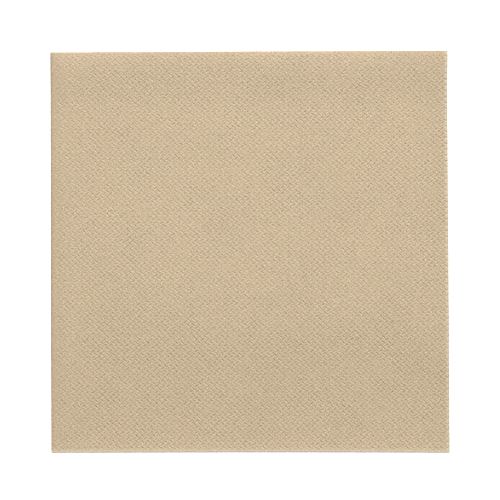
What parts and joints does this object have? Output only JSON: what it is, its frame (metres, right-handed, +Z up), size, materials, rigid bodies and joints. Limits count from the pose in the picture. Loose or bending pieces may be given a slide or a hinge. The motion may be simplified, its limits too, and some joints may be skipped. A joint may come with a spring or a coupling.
{
  "type": "paper napkin",
  "caption": "Square unbleached tissue napkin folded in four, lying flat, with all-over basket-weave embossing.",
  "frame": {"origin": "middle of the underside of the folded napkin's box", "axes": "+Z up through the layers, +Y towards the first fold, +X towards the cut edges, away from the last fold"},
  "size_m": [0.198, 0.2, 0.0019],
  "materials": {
    "tissue": "matt unbleached tissue, embossed all over"
  },
  "bodies": {
    "root": {"folded_napkin": "tissue"}
  },
  "joints": []
}
